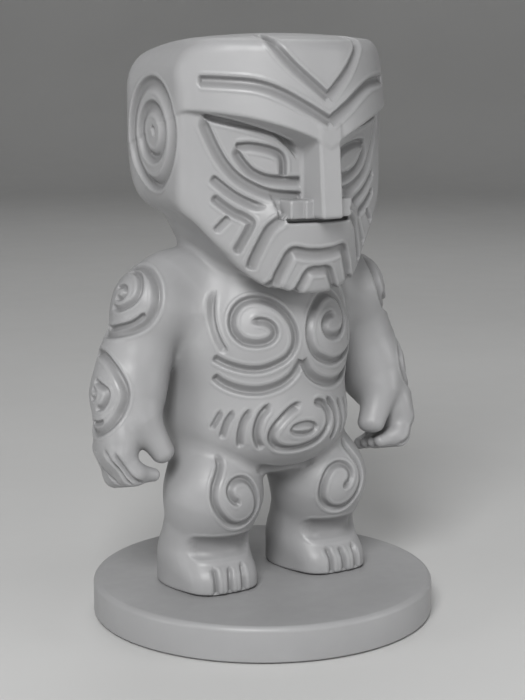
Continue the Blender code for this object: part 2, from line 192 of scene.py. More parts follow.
def head_block(p):
    """The plain block: a rounded back, a slightly domed crown and the jaw below."""
    x, y, z = p
    ax = np.abs(x)
    across = ax - (HEAD_HALF_WIDTH - CORNER)
    behind = y - (HEAD_BACK - CORNER)
    side = np.sqrt(np.maximum(across, 0.0) ** 2 + np.maximum(behind, 0.0) ** 2)
    side = side + np.minimum(np.maximum(across, behind), 0.0) - CORNER
    top = z - (CROWN_Z + 0.1 - 0.0022 * x * x - 0.0042 * (y + 8.0) ** 2)
    lean = 1.6 * (np.minimum(ax, HEAD_HALF_WIDTH) / JAW_HALF) ** 1.4
    under = (head_underside(ax, y) - z) / np.sqrt(1.2 + lean ** 2)
    return soft_max(soft_max(side, top, 10.0), under, 3.0 + 5.0 * ramp(y, -8.0, 20.0))


def head(p):
    """The block with its eye planes, brow, nose and muzzle."""
    x, y, z = p
    ax = np.abs(x)
    shell = head_block(p)
    face = soft_max(shell, (eye_plane(ax) - y) * 0.88, 3.0)
    brow = soft_max(shell, (brow_plane(ax, z) - y) * 0.85, 3.0)
    brow = soft_max(brow, (brow_under(ax, y) - z) * 0.95, 0.7)
    shape = soft_min(face, brow, 0.8)
    bridge_centre, wing_centre = (0.0, -28.4, 120.0), (0.0, -26.4, 109.8)
    leaning = (x, y - 0.09 * (z - bridge_centre[2]), z)
    bridge = block(leaning, bridge_centre, half=(3.4, 6.9, 12.6), edge=1.0)
    outer_wing = block(p, wing_centre, half=(9.9, 4.0, 2.5), edge=0.3)
    inner_wing = block(p, wing_centre, half=(5.7, 5.0, 2.5), edge=0.3)
    shape = soft_min(shape, bridge, 1.2)
    shape = soft_min(shape, np.minimum(outer_wing, inner_wing), 0.4)
    return soft_min(shape, muzzle(ax, y, z, shell), 0.4 + 3.6 * ramp(ax, MUZZLE_HALF, 3.0))


def muzzle(ax, y, z, shell):
    """The block round the mouth: cut level under the nose, and sloping up into the cheeks beside it."""
    front = muzzle_plane(ax, z)
    shape = soft_max(shell, (front - y) * 0.8, 3.0)
    beside = ramp(ax, MUZZLE_HALF, 2.5)
    top = MUZZLE_TOP + beside * (2.9 + 0.45 * (y - front))
    shape = soft_max(shape, (z - top) * (1.0 - 0.2 * beside), 0.8 + 2.2 * beside)
    return soft_max(shape, ax - 23.0 + 0.5 * (z - MUZZLE_Z), 6.0)


# ---------------------------------------------------------------- body

def neck(p):
    """An upright rod, a little flatter from front to back."""
    middle, radius = 8.0, 19.4
    squeezed = (p[0], middle + (p[1] - middle) * 1.05, p[2])
    return limb(squeezed, (0.0, middle, 80.0), (0.0, middle, 112.0), radius, radius)


def belly(p):
    """Chest and belly, two rounded forms in one."""
    chest = ellipsoid(p, (0.0, 3.5, 70.0), (28.2, 25.0, 26.0))
    return soft_min(chest, ellipsoid(p, (0.0, 4.8, 47.0), (27.8, 26.6, 17.5)), 10.0)


def hand(q):
    """A hand curled as if round a staff: palm, four stacked fingers and a thumb, open to the body."""
    shape = ellipsoid(q, (47.2, 1.0, 44.2), (5.6, 8.4, 8.8))
    for finger in range(4):
        y = -5.2 + 3.5 * finger
        low = 36.0 - 0.9 * finger
        joints = ((48.4, y + 1.2, 42.0, 3.2), (45.4, y, low + 0.7, 3.2), (39.0, y + 0.3, low - 0.6, 1.9))
        shape = soft_min(shape, chain(q, joints, 2.0), 1.5)
    thumb = limb(q, (40.4, -2.0, 50.5), (35.0, -3.8, 41.6), 4.6, 3.0)
    thumb = soft_min(thumb, limb(q, (41.2, -2.8, 50.5), (36.6, -5.4, 41.6), 4.6, 3.0), 1.5)
    return soft_min(shape, thumb, 2.0)


def arm(p):
    """Both arms, as one since the figure is the same on both sides."""
    q = (np.abs(p[0]), p[1], p[2])
    joints = ((26.0, 7.0, 85.6, 11.0), (33.0, 5.4, 81.2, 10.2), (38.8, 6.2, 65.0, 9.0),
              (42.0, 4.4, 56.0, 9.1), (44.0, 2.6, 50.0, 7.4))
    return soft_min(chain(q, joints, 6.0), hand(q), 4.0)


def leg(p):
    """Both legs, each with a foot whose plan is a squarish oval."""
    x, y, z = p
    ax = np.abs(x)
    joints = ((16.0, 1.0, 33.5, 13.2), (18.0, -2.1, 27.0, 13.8), (18.5, 2.4, 12.0, 11.8),
              (18.6, 3.0, 0.0, 12.0))
    shape = chain((ax, y, z), joints, 3.0)
    half_width, half_length, squareness = 11.9, 14.4, 3.2
    across, along = np.abs((ax - 18.8) / half_width), np.abs((y + 0.2) / half_length)
    plan = (across ** squareness + along ** squareness) ** (1.0 / squareness)
    foot = (plan - 1.0) * half_width
    sole = -z - 0.25
    foot = soft_max(foot, z - (9.8 + 0.16 * (y + 8.0)), 7.0)
    foot = soft_max(foot, sole, 1.5)
    return soft_max(soft_min(shape, foot, 4.0), sole, 1.0)


def skin_distance(p):
    """Distance to the whole uncarved figure, from points given as arrays x, y and z."""
    shape = soft_min(belly(p), neck(p), 12.0)
    shape = soft_min(shape, arm(p), 2.5 + 5.0 * ramp(p[2], 68.0, 12.0))
    shape = soft_min(shape, leg(p), 2.8)
    top = soft_min(head(p), neck(p), 15.0)
    return soft_min(shape, top, 1.5)


def gradient(points, reach=0.06):
    """Outward normals and slopes of skin_distance(), from four corners round each point."""
    corners = np.array(((1, -1, -1), (-1, -1, 1), (-1, 1, -1), (1, 1, 1)), float)
    total = np.zeros_like(points)
    for corner in corners:
        probe = points + corner * reach
        total += corner * skin_distance(probe.T)[:, None]
    size = np.linalg.norm(total, axis=1, keepdims=True)
    return total / np.maximum(size, 1e-12), total / (4.0 * reach)


def settle(points, rounds=2):
    """Move points onto the surface along its normal."""
    for _ in range(rounds):
        _, slope = gradient(points)
        steep = np.maximum((slope ** 2).sum(axis=1), 0.05)
        move = skin_distance(points.T) / steep
        points = points - np.clip(move, -0.6, 0.6)[:, None] * slope
    return points


# ---------------------------------------------------------------- meshing

def grid_values():
    """Distances on a regular grid, worked out only near the surface."""
    axes = []
    for low, high, shift in zip(GRID_LOW, GRID_HIGH, GRID_SHIFT):
        count = int(round((high - low) / GRID)) + 1
        axes.append(np.arange(count) * GRID + low + shift * GRID)
    counts = [len(axis) for axis in axes]
    stride = 4
    coarse = [axis[::stride] for axis in axes]
    rough = skin_distance(np.meshgrid(*coarse, indexing="ij"))
    rough = rough.repeat(stride, 0).repeat(stride, 1).repeat(stride, 2)
    values = rough[:counts[0], :counts[1], :counts[2]].copy()
    near = np.abs(values) < 2.2 * stride * GRID
    index = np.nonzero(near)
    values[near] = skin_distance([axes[i][index[i]] for i in range(3)])
    return values, axes


def surface_net(values, axes):
    """Triangles round every grid edge that crosses the surface, with one point in each cell."""
    inside = values < 0.0
    cells = tuple(n - 1 for n in values.shape)
    total = np.zeros(cells + (3,))
    count = np.zeros(cells)
    offsets = [(i, j, k) for i in (0, 1) for j in (0, 1) for k in (0, 1)]

    def corner(array, o):
        return array[o[0]:o[0] + cells[0], o[1]:o[1] + cells[1], o[2]:o[2] + cells[2]]

    for a in offsets:
        for axis in range(3):
            if a[axis]:
                continue
            b = tuple(1 if i == axis else a[i] for i in range(3))
            va, vb = corner(values, a), corner(values, b)
            cross = corner(inside, a) != corner(inside, b)
            t = np.where(cross, va / np.where(cross, va - vb, 1.0), 0.0)
            for i in range(3):
                total[..., i] += np.where(cross, a[i] + (t if i == axis else 0.0), 0.0)
            count += cross
    used = count > 0
    number = np.full(cells, -1, np.int64)
    number[used] = np.arange(used.sum())
    where = np.argwhere(used)
    origin = np.array([axis[0] for axis in axes])
    points = origin + (where + total[used] / count[used][:, None]) * GRID

    quads = []
    for axis in range(3):
        u, v = (axis + 1) % 3, (axis + 2) % 3
        low = [slice(1, n - 1) for n in values.shape]
        low[axis] = slice(0, values.shape[axis] - 1)
        high = list(low)
        high[axis] = slice(1, values.shape[axis])
        start, end = inside[tuple(low)], inside[tuple(high)]
        for flip, mask in ((False, start & ~end), (True, ~start & end)):
            at = np.argwhere(mask)
            at[:, u] += 1
            at[:, v] += 1
            ring = []
            for du, dv in ((-1, -1), (0, -1), (0, 0), (-1, 0)):
                cell = at.copy()
                cell[:, u] += du
                cell[:, v] += dv
                ring.append(number[cell[:, 0], cell[:, 1], cell[:, 2]])
            quads.append(np.stack(ring[::-1] if flip else ring, axis=1))
    quads = np.concatenate(quads)
    triangles = np.concatenate((quads[:, (0, 1, 2)], quads[:, (0, 2, 3)]))
    return points, triangles


def split_edges(points, triangles, marked, share=None):
    """Split every edge marked by marked(a, b), at its middle or at share(a, b) of its length."""
    ends = np.sort(triangles[:, ((0, 1), (1, 2), (2, 0))].reshape(-1, 2), axis=1)
    key = ends[:, 0] * len(points) + ends[:, 1]
    key, back = np.unique(key, return_inverse=True)
    a, b = key // len(points), key % len(points)
    cut = marked(a, b)
    number = np.full(len(key), -1, np.int64)
    number[cut] = len(points) + np.arange(cut.sum())
    t = 0.5 if share is None else share(a[cut], b[cut])[:, None]
    grown = np.concatenate((points, points[a[cut]] * (1.0 - t) + points[b[cut]] * t))
    middle = number[back].reshape(-1, 3)
    split = (middle >= 0).sum(axis=1)
    parts = [triangles[split == 0]]

    def with_splits(count, first):
        """The triangles with this many split edges, turned so that column 0 holds the odd one out."""
        chosen = split == count
        tri, mid = triangles[chosen], middle[chosen]
        odd = np.argmax(mid >= 0 if first else mid < 0, axis=1)
        turn = (odd[:, None] + np.arange(3)) % 3
        return np.take_along_axis(tri, turn, 1), np.take_along_axis(mid, turn, 1)

    (a, b, c), (ab, _, _) = (array.T for array in with_splits(1, True))
    parts += [np.stack((a, ab, c), 1), np.stack((ab, b, c), 1)]
    (a, b, c), (_, bc, ca) = (array.T for array in with_splits(2, False))
    parts += [np.stack((c, ca, bc), 1), np.stack((a, b, bc), 1), np.stack((a, bc, ca), 1)]
    (a, b, c), (ab, bc, ca) = triangles[split == 3].T, middle[split == 3].T
    parts += [np.stack((a, ab, ca), 1), np.stack((ab, b, bc), 1), np.stack((ca, bc, c), 1),
              np.stack((ab, bc, ca), 1)]
    return grown, np.concatenate(parts)


def refine(points, triangles, marked):
    """Split the marked edges and settle the new points on the surface."""
    count = len(points)
    points, triangles = split_edges(points, triangles, marked)
    points[count:] = settle(points[count:])
    return points, triangles


# ---------------------------------------------------------------- carved lines

class Line:
    """A channel pressed into the skin along its deepest line.

    width is from edge to edge and depth is in units of CARVING_DEPTH. steep is the side with the
    steeper wall: 1 for left of the way it runs, -1 for right, 0 for neither. fade gives the lengths over
    which it runs out at its two ends. bend is 1 for a V-shaped floor and more for a rounder one.
    """

    def __init__(self, points, width, depth=1.0, steep=0, fade=(1.2, 1.2), closed=False,
                 mirrored=True, bend=1.8):
        self.points = np.array(points, float)
        self.width = width
        self.depth = CARVING_DEPTH * depth
        self.steep = steep
        self.fade = fade
        self.closed = closed
        self.mirrored = mirrored
        self.bend = bend


def from_front(points):
    """Points given as x and z, seen from the front, onto the surface."""
    return project(points, (1.0, 0.0), (0.0, -1.0))


def from_side(points):
    """Points given as y and z, seen from the figure's left, onto the surface."""
    return project(points, (0.0, 1.0), (1.0, 0.0))


def project(points, across, towards):
    """March points in from outside, along the way that faces the viewer, to the surface."""
    flat = np.array(points, float)
    outside, rounds = 80.0, 80
    placed = np.stack((flat[:, 0] * across[0] + outside * towards[0],
                       flat[:, 0] * across[1] + outside * towards[1], flat[:, 1]), axis=1)
    way = np.array((-towards[0], -towards[1], 0.0))
    for _ in range(rounds):
        placed += way * np.clip(skin_distance(placed.T), -1.0, 20.0)[:, None] * 0.8
    return placed


def joined(front_points, near_points):
    """A line seen from the front that runs on through points in space near the skin."""
    return np.concatenate((from_front(front_points), np.array(near_points, float)))


def spline(points, closed=False):
    """A Catmull-Rom curve through points, sampled every STEP or so."""
    if closed:
        points = np.concatenate((points[-1:], points, points[:2]))
    else:
        before, after = 2 * points[:1] - points[1:2], 2 * points[-1:] - points[-2:-1]
        points = np.concatenate((before, points, after))
    samples = []
    for a, b, c, d in zip(points, points[1:], points[2:], points[3:]):
        count = max(2, int(np.linalg.norm(c - b) / STEP))
        t = np.arange(count)[:, None] / count
        samples.append(0.5 * (2 * b + (c - a) * t + (2 * a - 5 * b + 4 * c - d) * t ** 2
                              + (3 * b - a - 3 * c + d) * t ** 3))
    samples.append(points[-2:-1])
    return np.concatenate(samples)


def oval(centre, half_width, half_height, count=16):
    """Points round an oval, counter-clockwise."""
    return [(centre[0] + half_width * math.cos(t), centre[1] + half_height * math.sin(t))
            for t in 2.0 * np.pi * np.arange(count) / count]


def face_lines():
    """The lines of one side of the face. The other side mirrors them."""
    front = from_front
    return [
        # brow groove and the V on the forehead, which runs over the crown
        Line(front([(0, 133.8), (6.9, 137.9), (11.6, 140.7), (15.6, 142.6), (19.6, 143.7), (25, 144.2),
                    (30.3, 144.5)]), 3.2, 1.15, 1, (0, 1.6)),
        Line([(0, -33, 140.2), (4.2, -32, 143.8), (8, -30.4, 147.3), (10.9, -28.8, 150.6),
              (12.7, -27, 153.4), (13, -23.5, 155.4), (12.4, -19.5, 156), (11.2, -15.5, 156.2)],
             3.0, 1.0, 1, (0, 5.0)),
        # eye: outer channel, then the ring round the pupil and its tail to the nose
        Line(front([(28.9, 134.8), (27.5, 131.6), (25.6, 126.6), (23.5, 122.4), (20.8, 118.9),
                    (17, 116.2), (12, 114.2), (4.3, 113.3)]), 3.1, 1.05, -1, (3.5, 0)),
        Line(front([(21.3, 126.8), (17.6, 127.0), (14, 126.4), (11.2, 125.5), (9.3, 124.2), (8.6, 122.4),
                    (8.5, 120.6), (8.5, 118.4)]), 2.5, 1.2, -1, (1.0, 0.4), bend=1.5),
        Line(front([(21.3, 126.8), (20.6, 125.0), (19.6, 123.2), (18.2, 121.3), (16.4, 119.7),
                    (13.5, 118.4), (10.2, 117.9), (7, 117.6), (4.4, 117.4)]),
             2.8, 1.25, -1, (2.6, 0), bend=1.5),
        # edge of the eye plate under the brow and down the nose
        Line(front([(28.9, 134.9), (26.1, 133.6), (21.6, 132.4), (16.9, 131.2), (11.9, 129.5),
                    (8.3, 127.4), (6.1, 125.0), (5.0, 122.6)]), 2.0, 1.3, 1, (1.5, 4.0), bend=1.4),
        # cheek
        Line(front([(26.6, 118.8), (24.5, 116.7), (21.3, 113.9), (17.3, 111.6), (13.8, 110.3)]),
             2.7, 1.0, -1, (1.2, 3.5)),
        Line(front([(26.6, 113.3), (24.1, 110.9), (21.5, 108.9), (19.2, 107.7), (17.7, 106.3),
                    (18.2, 104.4), (19.7, 101.0), (21.2, 97.6)]), 2.7, 1.0, 0, (1.2, 1.2)),
        Line(front([(22.7, 107.9), (24.4, 106), (26.2, 103.7)]), 2.3, 0.8, 1, (0.8, 1.2)),
        Line(joined([(10.5, 109.0), (11.8, 107.9), (14.4, 104.9), (16.0, 101.0), (17.6, 96.4)],
                    [(18.2, -21.8, 93.2)]), 3.2, 1.1, 1, (1.5, 1.2)),
        # mouth, a frame inside a frame, open at the chin
        Line(joined([(0, 97.9), (4.2, 98.2), (7.8, 98.8), (9.5, 97.6), (10.9, 94.2)],
                    [(12.5, -25.0, 90.0), (13.5, -23, 89.6)]), 3.4, 1.2, 1, (0, 1.5)),
        Line(joined([(0, 93.3), (2.3, 93.3), (3.9, 92.4), (5.4, 89.6)],
                    [(6.5, -27.2, 87.4), (7.2, -25, 87.4)]), 2.8, 1.1, 1, (0, 1.5)),
    ]


def ear_lines():
    """Two oval rings on each side of the head, with short strokes in them and at their centre."""
    return [
        Line(from_side(oval((4.0, 129.3), 12.1, 14.6, 20)), 4.2, 1.1, -1, closed=True),
        Line(from_side(oval((4.0, 129.8), 6.8, 7.6, 16)), 4.0, 1.0, -1, closed=True),
        Line(from_side([(7.6, 117.5), (4.8, 115.8), (1.6, 115.3), (-1.6, 116.5)]),
             2.2, 1.25, 1, (2.0, 1.0)),
        Line(from_side([(6.6, 124.6), (4.8, 123.4), (2.6, 123.2), (0.8, 124.0)]),
             2.0, 1.15, 1, (1.0, 0.6)),
        Line(from_side([(2.8, 128.6), (3.3, 130.4), (4.4, 131.6)]), 1.8, 0.7, 0, (0.8, 0.8)),
    ]


def body_lines():
    """The lines on the chest, belly and legs."""
    front = from_front
    return [
        # chest: a tail that runs along the ribs and up into a spiral with a hooked end
        Line(front([(23.2, 67.7), (20, 65.7), (15.9, 64.4), (12.0, 64.3), (8.3, 65.4), (4.8, 67.3),
                    (2.7, 70), (1.9, 73), (2.2, 76.2), (3.6, 79.4), (6.1, 82.3), (9.3, 84.1),
                    (12.9, 84.4), (16, 83.1), (18.1, 80.6), (19, 77.5), (18.6, 74.8), (16.9, 72.6),
                    (14.2, 71.7), (11.2, 71.9), (8.9, 73.1), (7.9, 75.1), (8.5, 77.1), (10.3, 78.4),
                    (12.5, 78.6), (14.4, 77.7)]), 2.6, 1.05, 1, (1.0, 2.5)),
        # a line under the tail, which meets its mirror image in the middle, and one beside the spiral
        Line(front([(22.8, 62.3), (20.8, 60.3), (17.8, 58.8), (14, 58.1), (10.2, 58.4), (5.9, 59.8),
                    (2.4, 62.3), (0, 66.0)]), 2.9, 1.1, 1, (1.0, 0)),
        Line(front([(19.8, 87), (21.4, 83.2), (22.2, 78.6), (22.0, 74.3), (21.1, 71.4), (20.0, 69.4)]),
             2.4, 0.8, -1, (5.0, 2.0)),
        # belly: four ribs on each side of a ring, which is open at the top, and the navel
        Line(front([(9.2, 55.2), (12.2, 52.2), (13.7, 48.4), (13.6, 44.9), (11.8, 41.5)]),
             2.6, 1.1, 1, (2.5, 1.2)),
        Line(front([(14.3, 54), (16.5, 50.9), (17.5, 47.4), (17.5, 44.2), (16.9, 42.2)]),
             2.4, 0.9, 1, (2.5, 1.2)),
        Line(front([(18.3, 53.4), (20.2, 50.4), (21.1, 47.2), (21.4, 44.8)]), 2.2, 0.8, 1, (2.0, 1.2)),
        Line(front([(20.9, 53.4), (22.4, 50.2), (23.4, 47.4)]), 2.0, 0.7, 1, (2.0, 1.2)),
        Line(front([(0.2, 54.6), (-2.9, 53.6), (-6.3, 51.2), (-9.2, 47.9), (-9.8, 44.8), (-7.6, 42),
                    (-3.6, 40.9), (1.6, 41.2), (6.6, 43), (9.8, 46.4), (10.2, 50.2), (8.4, 53.2),
                    (6, 54.2), (4.2, 53.6)]), 2.7, 1.1, -1, (2.5, 1.2), mirrored=False),
        Line(front(oval((0.5, 47.0), 4.1, 1.75)), 1.9, 0.8, -1, closed=True, mirrored=False),
        # crease under the belly, between the thighs
        Line(front([(-10.5, 36.4), (-6, 34.9), (0, 34.4), (6, 34.9), (10.5, 36.4)]),
             5.0, 1.1, 1, (4.0, 4.0), mirrored=False, bend=2.0),
        # leg: a tail with a hooked top and a spiral over the knee
        Line(front([(21.9, 40.4), (21.8, 37.6), (23.2, 35.2), (25.0, 31.9), (25.4, 27.6), (23.4, 23.3),
                    (20, 20.2), (16.5, 19.5), (13.3, 20.6), (11.1, 23.2), (10.8, 26.6), (11.9, 30.2),
                    (13.9, 32.7), (16.5, 33.7), (19.1, 33.2), (20.8, 31.3), (20.8, 29), (19.4, 27.1),
                    (17.2, 26.3)]), 2.5, 1.0, 1, (3.0, 1.5)),
    ]


def arm_lines():
    """Emblems on the outer front of the upper arm and forearm, as points in space near the skin."""
    return [
        # upper arm: a D-shaped rim, a chord across its lower part and a hook round a boss
        Line([(38.4, 12, 92), (37, 8, 92.4), (36.1, 5.6, 92.2), (35.4, 1.8, 91.1), (35.3, -1.6, 88.3),
              (36, -3.7, 84.3), (37.2, -3.8, 80.8), (39.3, -2.7, 77.6), (42.5, -0.2, 75.4),
              (45.4, 3.7, 74.1), (46, 8.9, 73.6), (46, 13.0, 76), (44.6, 16, 81), (42, 16.2, 87)],
             3.2, 0.85, -1, closed=True),
        Line([(39.2, -2.9, 81), (40.8, -1.6, 79.2), (42.8, 0, 77.7), (45, 5.2, 76), (45.8, 9, 76)],
             2.4, 1.0, 1, (1.5, 1.5)),
        Line([(37.8, 7.5, 90.4), (37.6, 3.5, 89.6), (38.2, 0.8, 87.6), (39.6, -0.6, 85.1),
              (41.6, 0, 83), (44.1, 3.3, 81.2), (45, 7.2, 81.5)], 2.0, 0.8, -1, (2.0, 1.2)),
        Line([(43.2, 7.6, 87), (41.6, 4.6, 87.2), (41.4, 2.6, 85.6), (43, 3.4, 84), (44.3, 6, 84.2)],
             1.8, 0.8, -1, (0.8, 0.8)),
        # forearm: a leaf-shaped rim round a hook, with strokes in and below it
        Line([(48.4, 11.4, 68.6), (48.2, 7.9, 69.2), (47.8, 3.9, 68.2), (46.9, -0.8, 64.5),
              (46.2, -3.8, 60.1), (47, -4.4, 55.9), (49.7, -4, 51.7), (52.1, -1.8, 48.8),
              (53.6, 2.4, 47.2), (54, 7.4, 48.6), (53, 12, 53.6), (51.2, 13.2, 60), (49.6, 12.6, 65.6)],
             2.8, 0.9, -1, closed=True),
        Line([(50.9, 5.6, 62.0), (50.7, 2.8, 61), (50.2, -0.1, 59.9), (50.3, -0.8, 57.6),
              (51.3, 0.5, 54.9), (52, 3.2, 54)], 2.0, 0.85, -1, (1.0, 1.0)),
        Line([(51.4, 5.6, 59.8), (51.2, 3.8, 58.6), (51.6, 4.2, 56.8), (52.2, 6.2, 56.6)],
             1.7, 0.7, -1, (0.6, 0.6)),
        Line([(51.9, -0.9, 51.6), (52.5, 1.7, 50.6), (53, 5.4, 50.4)], 1.9, 0.8, 1, (1.0, 1.0)),
    ]


def slits():
    """Creases between the fingers, over the ankle and between the toes, as points near the skin."""
    fingers = (
        [(52.6, 4.6, 43.4), (52.3, 4.2, 41.6), (51.2, 3.8, 38.6), (49.6, 1.6, 35.6), (47, -2.6, 33.4)],
        [(52.6, -1.6, 44), (52.4, -2.6, 42.4), (51.4, -4.6, 39.6), (49.2, -6, 36.8), (46.2, -6.8, 34.4)],
        [(51.6, -5.6, 44), (51.2, -6.2, 42.2), (49.6, -7.2, 39.3), (47.4, -7.8, 36.6),
         (43.4, -7.2, 34.2)])
    ankle = [(8.5, -6, 13), (13, -9.5, 13.4), (18.5, -10.5, 13.6), (24, -9, 13.4), (28.5, -4, 13)]
    lines = [Line(points, 1.8, 0.8, 0, (2.5, 2.0), bend=1.3) for points in fingers]
    lines.append(Line(ankle, 7.0, 1.0, 0, (5.0, 5.0), bend=2.2))
    for x, lean, top in ((15.1, -0.6, 8.2), (19.6, -0.8, 7.4), (24.1, -0.4, 8.0)):
        toe = [(x + lean, -11.4, top), (x + 0.5 * lean, -13.2, 0.8 * top), (x, -14.4, 0.5 * top),
               (x, -14.6, 0.0)]
        lines.append(Line(toe, 2.2, 0.95, 0, (2.0, 0), bend=1.2))
    return lines


def profile(across, width, depth, steep, bend):
    """Height of the skin at a distance across a channel: rounded floor, crisp edges and slight lips."""
    left = width * (0.5 - 0.19 * steep)
    reach = np.where(across > 0.0, left, width - left)
    t = np.abs(across) / reach
    power = np.where((across > 0.0) == (steep > 0), bend + 0.5, bend - 0.2) if steep else bend
    floor = -depth * (1.0 - np.minimum(t, 1.0) ** power)
    lip = np.clip((t - 1.0) * reach / 1.3, 0.0, 1.0)
    return floor + 0.10 * depth * np.sin(np.pi * lip) ** 2


def trace(line):
    """A line's samples, with the way along, the way left, the normal and the share of the depth."""
    samples = settle(spline(line.points, line.closed), 4)
    along = np.gradient(samples, axis=0)
    steps = np.linalg.norm(along, axis=1, keepdims=True)
    along /= np.maximum(steps, 1e-9)
    normal, _ = gradient(samples)
    left = np.cross(normal, along)
    left /= np.maximum(np.linalg.norm(left, axis=1, keepdims=True), 1e-9)
    travelled = np.concatenate(([0.0], np.cumsum(np.linalg.norm(np.diff(samples, axis=0), axis=1))))
    share = np.ones(len(samples))
    if not line.closed:
        for fade, distance in zip(line.fade, (travelled, travelled[-1] - travelled)):
            if fade > 0.0:
                t = np.clip(distance / fade, 0.0, 1.0)
                share = np.minimum(share, t * t * (3.0 - 2.0 * t))
    return samples, along, left, normal, share


def press(points, normals, line, side, heights):
    """Add a line's channel, on one side of the figure, to the heights over the plain surface."""
    samples, along, left, normal, share = line.traced
    flip = np.array((side, 1.0, 1.0))
    samples, along, left, normal = samples * flip, along * flip, left * flip, normal * flip
    reach = line.width * 0.6 + 1.5
    low, high = samples.min(axis=0) - reach, samples.max(axis=0) + reach
    near = np.nonzero(((points > low) & (points < high)).all(axis=1))[0]
    span = max(8, int(6.0 / STEP))
    for start in range(0, len(samples) - 1, span):
        part = slice(max(0, start - 2), min(len(samples), start + span + 3))
        low, high = samples[part].min(axis=0) - reach, samples[part].max(axis=0) + reach
        chosen = near[((points[near] > low) & (points[near] < high)).all(axis=1)]
        if not len(chosen):
            continue
        offset = points[chosen][:, None] - samples[part][None]
        distance = (offset ** 2).sum(axis=2)
        nearest = distance.argmin(axis=1)
        rows = np.arange(len(chosen))
        offset = offset[rows, nearest]
        ahead = np.abs((offset * along[part][nearest]).sum(axis=1))
        across = (offset * left[part][nearest]).sum(axis=1)
        facing = (normals[chosen] * normal[part][nearest]).sum(axis=1)
        held = (ahead < 1.5 * STEP) & (np.sqrt(distance[rows, nearest]) < reach) & (facing > 0.5)
        chosen, across, nearest = chosen[held], across[held], nearest[held]
        depth = line.depth * share[part][nearest]
        width = line.width * (0.2 + 0.8 * share[part][nearest] ** 0.4)
        pressed = profile(across, width, depth, line.steep, line.bend)
        before = heights[chosen]
        heights[chosen] = np.where((pressed < 0.0) | (before < 0.0), np.minimum(pressed, before),
                                   np.maximum(pressed, before))


def carve(points, normals, lines):
    """Heights of the carved skin over the plain surface."""
    heights = np.zeros(len(points))
    for line in lines:
        for side in ((1, -1) if line.mirrored else (1,)):
            press(points, normals, line, side, heights)
    return heights


# ---------------------------------------------------------------- pieces

def cut(points, triangles, heights):
    """Cut the mesh along heights(points) == 0, with new points exactly on the cut."""
    level = heights(points)
    level = np.where(np.abs(level) < 1e-4, 1e-4, level)

    def crosses(a, b):
        return (level[a] > 0.0) != (level[b] > 0.0)

    def share(a, b):
        return level[a] / (level[a] - level[b])

    return split_edges(points, triangles, crosses, share)


def above_neck(points):
    return points[:, 2] - (NECK_POINT[1] + NECK_SLOPE * (points[:, 1] - NECK_POINT[0]))


def above_hips(points):
    return points[:, 2] - (HIP_CENTRE_Z + HIP_SLOPE * np.abs(points[:, 0]))


def beyond_shoulders(points):
    """Positive on the arms' side: past the shoulder planes, or past the gap below the armpits."""
    below = np.maximum(ARMPIT_Z - points[:, 2], 0.0)
    return np.abs(points[:, 0]) - (SHOULDER_X + 0.16 * below)


def point_normals(points, triangles):
    """Unit normals at the points, from the areas of the triangles round them."""
    a, b, c = (points[triangles[:, i]] for i in range(3))
    facing = np.cross(b - a, c - a)
    normals = np.stack([sum(np.bincount(triangles[:, k], facing[:, i], len(points)) for k in range(3))
                        for i in range(3)], axis=1)
    return normals / np.maximum(np.linalg.norm(normals, axis=1, keepdims=True), 1e-12)


def add_mesh(name, points, faces, material):
    """An object from points in millimetres in the CAD's frame."""
    mesh = bpy.data.meshes.new(name)
    mesh.from_pydata((np.asarray(points) * MM).tolist(), [], [list(map(int, face)) for face in faces])
    mesh.validate()
    mesh.materials.append(material)
    piece = bpy.data.objects.new(name, mesh)
    bpy.context.scene.collection.objects.link(piece)
    mesh.shade_smooth()
    return piece


def close_holes(mesh):
    """Cap the open loops that a cut left."""
    work = bmesh.new()
    work.from_mesh(mesh)
    rims = [edge for edge in work.edges if edge.is_boundary]
    caps = bmesh.ops.holes_fill(work, edges=rims, sides=0)["faces"]
    bmesh.ops.triangulate(work, faces=caps)
    for face in caps:
        if face.is_valid:
            face.smooth = False
    work.to_mesh(mesh)
    work.free()


def skin_piece(name, node, points, triangles, normals, heights, material):
    """One cut piece of the carved skin, which stands for its CAD node."""
    used, renumbered = np.unique(triangles, return_inverse=True)
    placed = points[used] + np.array((0.0, 0.0, SOLE_Z))
    piece = add_mesh(name, placed, renumbered.reshape(-1, 3), material)
    close_holes(piece.data)
    layer = piece.data.attributes.new("carving", "FLOAT", "POINT")
    layer.data.foreach_set("value", heights[used].astype(np.float32))
    piece.data.normals_split_custom_set_from_vertices(normals[used].tolist())
    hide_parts(node)
    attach(piece, "root")


def carved_mesh():
    """Points, triangles, normals and carved heights of the whole figure."""
    lines = face_lines() + ear_lines() + body_lines() + arm_lines() + slits()
    for line in lines:
        line.traced = trace(line)

    def everywhere(a, b):
        return np.ones(len(a), bool)

    points, triangles = surface_net(*grid_values())
    points, triangles = refine(settle(points, 4), triangles, everywhere)
    facing, _ = gradient(points)
    carved = np.abs(carve(points, facing, lines)) > 1e-6

    def carved_or_bent(a, b):
        return carved[a] | carved[b] | ((facing[a] * facing[b]).sum(axis=1) < 0.97)

    points, triangles = refine(points, triangles, carved_or_bent)
    facing, _ = gradient(points)
    heights = carve(points, facing, lines)
    points = points + facing * heights[:, None]
    return points, triangles, point_normals(points, triangles), heights


